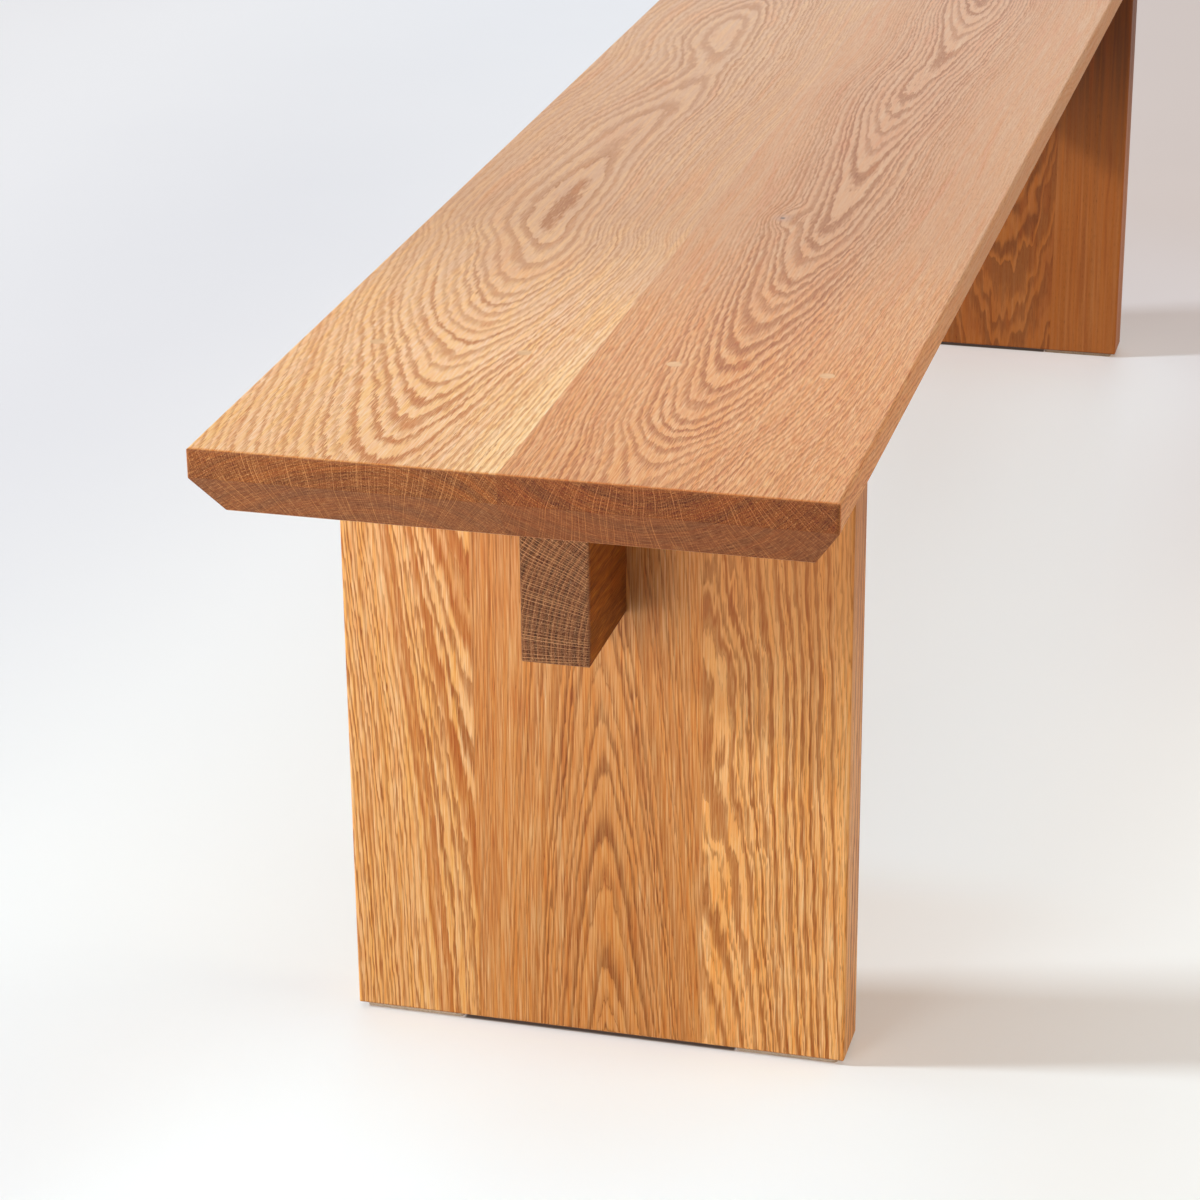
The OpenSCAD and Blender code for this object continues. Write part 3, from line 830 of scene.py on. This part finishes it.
def dress_bench():
    dress("top_board_back", oak("oak_seat_back", SEAT_BACK, X, seat_frame))
    dress("top_board_front", oak("oak_seat_front", SEAT_FRONT, X, seat_frame))
    dress("left_leg_back_stave", oak("oak_left_leg_back", LEG_BACK, Z, left_leg_frame))
    dress("left_leg_middle_stave", oak("oak_left_leg_middle", LEG_MIDDLE, Z, left_leg_frame))
    dress("left_leg_front_stave", oak("oak_left_leg_front", LEG_FRONT, Z, left_leg_frame))
    dress("right_leg_back_stave", oak("oak_right_leg_back", FAR_LEG_PLAIN, Z, right_leg_frame))
    dress("right_leg_middle_stave", oak("oak_right_leg_middle", FAR_LEG, Z, right_leg_frame))
    dress("right_leg_front_stave", oak("oak_right_leg_front", FAR_LEG_PLAIN, Z, right_leg_frame))
    dress("stretcher_beam", oak("oak_beam", BEAM, X, beam_frame))
    pad = felt("felt_pad")
    for side in ("left", "right"):
        for end in ("front", "back"):
            dress(f"{side}_leg_{end}_pad", pad)
    metal = steel("screw_steel")
    for node in ("beam_screws", "beam_washers", "leg_screws"):
        dress(node, metal)
    dress("seat_plugs", plug("oak_plug"))
    tenon = oak("beech_tenon", BEAM, X, beam_frame)
    for node in ("top_board_tenons", "left_leg_stave_tenons", "left_leg_top_tenons",
                 "right_leg_stave_tenons", "right_leg_top_tenons"):
        dress(node, tenon)


def add_camera():
    yaw, pitch, roll = CAMERA_YAW, CAMERA_PITCH, CAMERA_ROLL
    ahead = Vector((math.cos(pitch) * math.cos(yaw), math.cos(pitch) * math.sin(yaw), math.sin(pitch)))
    right = ahead.cross(Vector((0, 0, 1))).normalized()
    up = right.cross(ahead)
    turned_right = right * math.cos(roll) + up * math.sin(roll)
    turned_up = up * math.cos(roll) - right * math.sin(roll)
    data = bpy.data.cameras.new("camera")
    data.lens = CAMERA_LENS
    data.sensor_width = CAMERA_SENSOR
    data.clip_start, data.clip_end = CAMERA_CLIP
    camera = bpy.data.objects.new("camera", data)
    turn = Matrix((turned_right, turned_up, -ahead)).transposed()
    camera.matrix_world = Matrix.Translation(CAMERA_PLACE) @ turn.to_4x4()
    scene.collection.objects.link(camera)
    scene.camera = camera


def add_lamp(name, place, target, size, power, colour):
    data = bpy.data.lights.new(name, "AREA")
    data.shape = "SQUARE"
    data.size = size
    data.energy = power
    data.color = colour
    lamp = bpy.data.objects.new(name, data)
    direction = Vector(target) - Vector(place)
    lamp.rotation_euler = direction.to_track_quat("-Z", "Y").to_euler()
    lamp.location = place
    lamp.visible_camera = False
    scene.collection.objects.link(lamp)


def add_world():
    """Weak light from all around, with a pale backdrop where the camera looks."""
    world = bpy.data.worlds.new("world")
    world.use_nodes = True
    scene.world = world
    graph = Graph(world.node_tree)
    light = graph.tree.nodes["Background"]
    light.inputs["Color"].default_value = WORLD_LIGHT
    light.inputs["Strength"].default_value = WORLD_STRENGTH
    backdrop = graph.node("ShaderNodeBackground")
    backdrop.inputs["Color"].default_value = linear(*BACKDROP)
    mix = graph.node("ShaderNodeMixShader")
    graph.feed(mix.inputs[0], graph.seen())
    graph.feed(mix.inputs[1], Value(graph, light.outputs[0]))
    graph.feed(mix.inputs[2], Value(graph, backdrop.outputs[0]))
    graph.feed(graph.tree.nodes["World Output"].inputs["Surface"], Value(graph, mix.outputs[0]))


def open_floor(x, y):
    """0 in the narrow gap under each leg, between its pads, where the floor takes painted shade, and 1
    everywhere else.
    """
    share = 1.0
    for leg in ("left", "right"):
        near, far = [corner.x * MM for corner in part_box(f"{leg}_leg_middle_stave")]
        near = near + UNDER_INSET
        far = far - UNDER_INSET
        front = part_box(f"{leg}_leg_front_pad")[1].y * MM
        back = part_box(f"{leg}_leg_back_pad")[0].y * MM
        gap = x.rise(near, near + UNDER_SOFT) * x.fall(far - UNDER_SOFT, far)
        gap = gap * y.rise(front, front + UNDER_PAD_SOFT) * y.fall(back - UNDER_PAD_SOFT, back)
        share = (1.0 - gap) * share
    return share


def floor_colour(paint, x, y, uncovered, far_off):
    """The colour that the camera sees, each patch of painted light and shade mixed over the ones before it.
    """
    # Painted light below the bench, left out of the strip where the near leg's shadow falls
    below = (y - BELOW_MIDDLE_Y).absolute().fall(*BELOW_EDGE)
    below = below * (x - BELOW_STRIP_X).absolute().rise(*BELOW_STRIP_EDGE)
    # Patches over the plain floor: painted shade, painted light below the bench, and a bluer tint further
    # back
    patches = [
        (FLOOR_LEFT_SHADE, (y + x * LEFT_SLANT).rise(*LEFT_FROM_Y)),
        (FLOOR_BACK, y.rise(*BACK_FROM_Y)),
        (FLOOR_CORNER_SHADE, y.rise(*CORNER_FROM_Y) * x.fall(*CORNER_TO_X)),
        (FLOOR_RIGHT_SHADE, x.rise(*RIGHT_FROM_X) * y.fall(*RIGHT_TO_Y)),
        (FLOOR_BELOW_LIGHT, below * x.fall(*BELOW_TO_X)),
        (FLOOR_FAR_RIGHT_SHADE, x.rise(*FAR_RIGHT_FROM_X) * y.fall(*FAR_RIGHT_TO_Y)),
    ]
    colour = FLOOR_NEAR
    for patch, share in patches:
        colour = paint.mix(share, colour, patch)
    cloud = paint.noise(x / FLOOR_CLOUD, y / FLOOR_CLOUD, 0.0, detail=3.0)
    colour = paint.deepen(colour, 1.0 - cloud * FLOOR_CLOUD_DEPTH)
    # Painted shade in the gap under each leg
    colour = paint.mix(uncovered, FLOOR_UNDER_SHADE, colour)
    return paint.mix(far_off, colour, FLOOR_FAR_OFF)


def floor_paint():
    paint = Paint("floor_paint")
    x, y = paint.place()[:2]
    from_x = x - FAR_OFF_CENTRE[X]
    from_y = y - FAR_OFF_CENTRE[Y]
    far_off = (from_x * from_x + from_y * from_y).root().rise(*FAR_OFF_EDGE)
    uncovered = open_floor(x, y)
    colour = floor_colour(paint, x, y, uncovered, far_off)
    seen = paint.seen()
    paint.give("Base Color", paint.mix(seen, FLOOR_BOUNCE, colour))
    paint.give("Emission Color", paint.mix(far_off, FLOOR_GLOW, FAR_OFF_GLOW))
    # Only a share of the glow in the gap under each leg: more painted shade
    paint.give("Emission Strength", seen * uncovered.most(UNDER_GLOW_SHARE))
    paint.give("Roughness", FLOOR_ROUGHNESS)
    paint.give("Specular IOR Level", LOW_SPECULAR)
    return paint.material


def add_floor():
    half = FLOOR_HALF
    mesh = bpy.data.meshes.new("floor")
    corners = [(-half, -half, 0), (half, -half, 0), (half, half, 0), (-half, half, 0)]
    mesh.from_pydata(corners, [], [(0, 1, 2, 3)])
    mesh.materials.append(floor_paint())
    floor = bpy.data.objects.new("floor", mesh)
    scene.collection.objects.link(floor)


add_camera()
add_world()
add_floor()
for lamp in LAMPS:
    add_lamp(**lamp)
dress_bench()
scene.view_settings.view_transform = "Standard"
